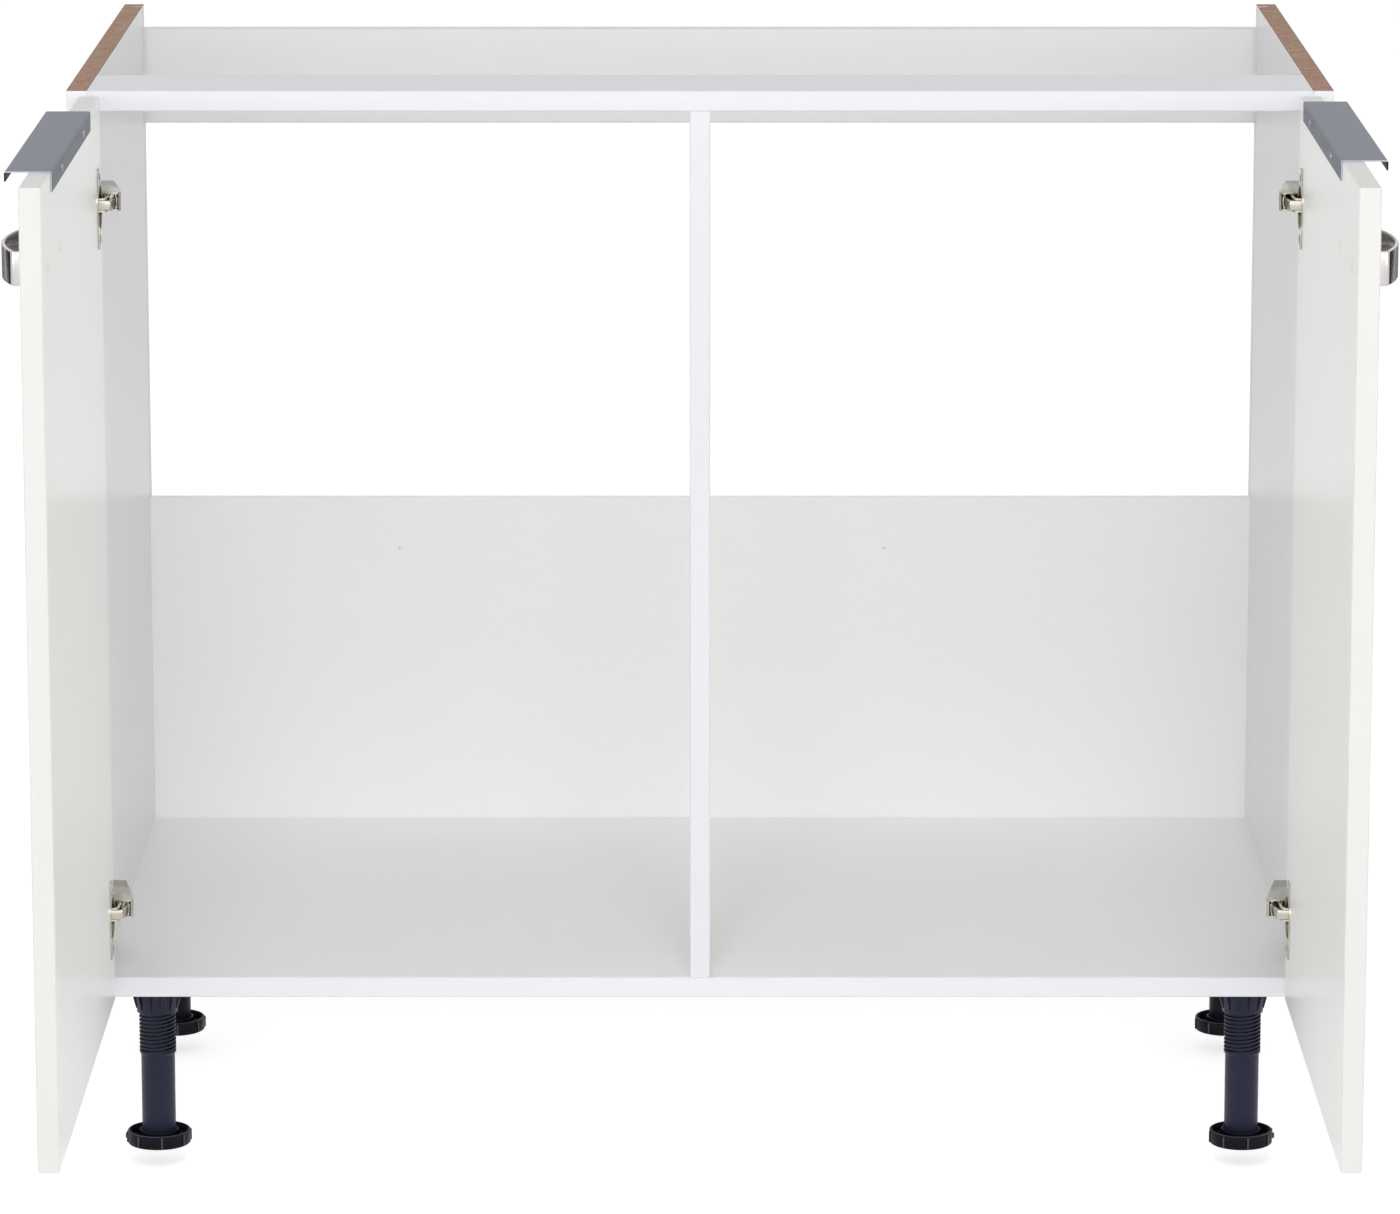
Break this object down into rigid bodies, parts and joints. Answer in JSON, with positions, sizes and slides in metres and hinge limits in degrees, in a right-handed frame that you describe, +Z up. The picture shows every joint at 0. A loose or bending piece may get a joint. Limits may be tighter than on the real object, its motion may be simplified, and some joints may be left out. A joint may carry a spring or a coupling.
{
  "type": "sink base cabinet",
  "caption": "White sink base cabinet with open top and open upper back, hinged doors with bow handles, and screw-adjustable plastic legs.",
  "frame": {"origin": "on the floor, under the middle of the bounding box with both doors open at a right angle", "axes": "+Z up, +X to the right, the front faces -Y and the doors stand open towards -Y"},
  "size_m": [0.995, 1.0544, 0.87],
  "materials": {
    "white_board": "white melamine-faced chipboard, fine satin, raw chipboard on cut edges",
    "door_board": "white faced board, smooth half gloss, banded edges",
    "hardboard": "white lacquered thin hardboard",
    "leg_plastic": "black moulded plastic, slightly glossy",
    "hinge_steel": "nickel-plated pressed steel",
    "handle_metal": "polished nickel-plated",
    "grip_metal": "satin anodised grey",
    "screw_steel": "zinc-plated"
  },
  "bodies": {
    "carcass": {"bottom_panel": "white_board", "front_rail": "white_board", "back_rail": "white_board", "back_panel": "hardboard", "centre_post": "white_board", "side_panel_left": "white_board", "side_panel_right": "white_board", "leg_socket_front_left": "leg_plastic", "leg_socket_front_right": "leg_plastic", "leg_socket_back_left": "leg_plastic", "leg_socket_back_right": "leg_plastic", "hinge_plate_upper_left": "hinge_steel", "hinge_arm_upper_left": "hinge_steel", "hinge_plate_lower_left": "hinge_steel", "hinge_arm_lower_left": "hinge_steel", "hinge_plate_upper_right": "hinge_steel", "hinge_arm_upper_right": "hinge_steel", "hinge_plate_lower_right": "hinge_steel", "hinge_arm_lower_right": "hinge_steel"},
    "leg_front_left": {"leg_tube_front_left": "leg_plastic", "leg_foot_front_left": "leg_plastic"},
    "leg_front_right": {"leg_tube_front_right": "leg_plastic", "leg_foot_front_right": "leg_plastic"},
    "leg_back_left": {"leg_tube_back_left": "leg_plastic", "leg_foot_back_left": "leg_plastic"},
    "leg_back_right": {"leg_tube_back_right": "leg_plastic", "leg_foot_back_right": "leg_plastic"},
    "door_left": {"door_left": "door_board", "door_handle_left": "handle_metal", "handle_screw_front_left": "screw_steel", "handle_screw_back_left": "screw_steel", "grip_profile_left": "grip_metal", "grip_screw_front_left": "screw_steel", "grip_screw_back_left": "screw_steel", "hinge_cup_upper_left": "hinge_steel", "hinge_cup_lower_left": "hinge_steel"},
    "outer_links_left": {"hinge_outer_link_upper_left": "hinge_steel", "hinge_outer_link_lower_left": "hinge_steel"},
    "inner_links_left": {"hinge_inner_link_upper_left": "hinge_steel", "hinge_inner_link_lower_left": "hinge_steel"},
    "door_right": {"door_right": "door_board", "door_handle_right": "handle_metal", "handle_screw_front_right": "screw_steel", "handle_screw_back_right": "screw_steel", "grip_profile_right": "grip_metal", "grip_screw_front_right": "screw_steel", "grip_screw_back_right": "screw_steel", "hinge_cup_upper_right": "hinge_steel", "hinge_cup_lower_right": "hinge_steel"},
    "outer_links_right": {"hinge_outer_link_upper_right": "hinge_steel", "hinge_outer_link_lower_right": "hinge_steel"},
    "inner_links_right": {"hinge_inner_link_upper_right": "hinge_steel", "hinge_inner_link_lower_right": "hinge_steel"}
  },
  "joints": [
    {"name": "door_left_hinge", "type": "hinge", "parent": "carcass", "child": "door_left", "pos_m": [-0.477, -0.05175, 0.503], "axis": [0, 0, 1], "range_deg": [-10, 90]},
    {"name": "outer_links_left_pivot", "type": "hinge", "parent": "carcass", "child": "outer_links_left", "pos_m": [-0.457, -0.03005, 0.503], "axis": [0, 0, 1], "range_deg": [-45.5, 5.1]},
    {"name": "inner_links_left_pivot", "type": "hinge", "parent": "carcass", "child": "inner_links_left", "pos_m": [-0.451, -0.03005, 0.503], "axis": [0, 0, 1], "range_deg": [-38.5, 4.4]},
    {"name": "door_right_hinge", "type": "hinge", "parent": "carcass", "child": "door_right", "pos_m": [0.477, -0.05175, 0.503], "axis": [0, 0, -1], "range_deg": [-10, 90]},
    {"name": "outer_links_right_pivot", "type": "hinge", "parent": "carcass", "child": "outer_links_right", "pos_m": [0.457, -0.03005, 0.503], "axis": [0, 0, -1], "range_deg": [-45.5, 5.1]},
    {"name": "inner_links_right_pivot", "type": "hinge", "parent": "carcass", "child": "inner_links_right", "pos_m": [0.451, -0.03005, 0.503], "axis": [0, 0, -1], "range_deg": [-38.5, 4.4]},
    {"name": "leg_front_left_height", "type": "slide", "parent": "carcass", "child": "leg_front_left", "axis": [0, 0, -1], "range_m": [-0.008, 0.017]},
    {"name": "leg_front_right_height", "type": "slide", "parent": "carcass", "child": "leg_front_right", "axis": [0, 0, -1], "range_m": [-0.008, 0.017]},
    {"name": "leg_back_left_height", "type": "slide", "parent": "carcass", "child": "leg_back_left", "axis": [0, 0, -1], "range_m": [-0.008, 0.017]},
    {"name": "leg_back_right_height", "type": "slide", "parent": "carcass", "child": "leg_back_right", "axis": [0, 0, -1], "range_m": [-0.008, 0.017]}
  ],
  "couplings": [
    {"joint": "outer_links_left_pivot", "follows": "door_left_hinge", "ratio": -0.5042},
    {"joint": "inner_links_left_pivot", "follows": "door_left_hinge", "ratio": -0.4265},
    {"joint": "outer_links_right_pivot", "follows": "door_right_hinge", "ratio": -0.5042},
    {"joint": "inner_links_right_pivot", "follows": "door_right_hinge", "ratio": -0.4265}
  ]
}
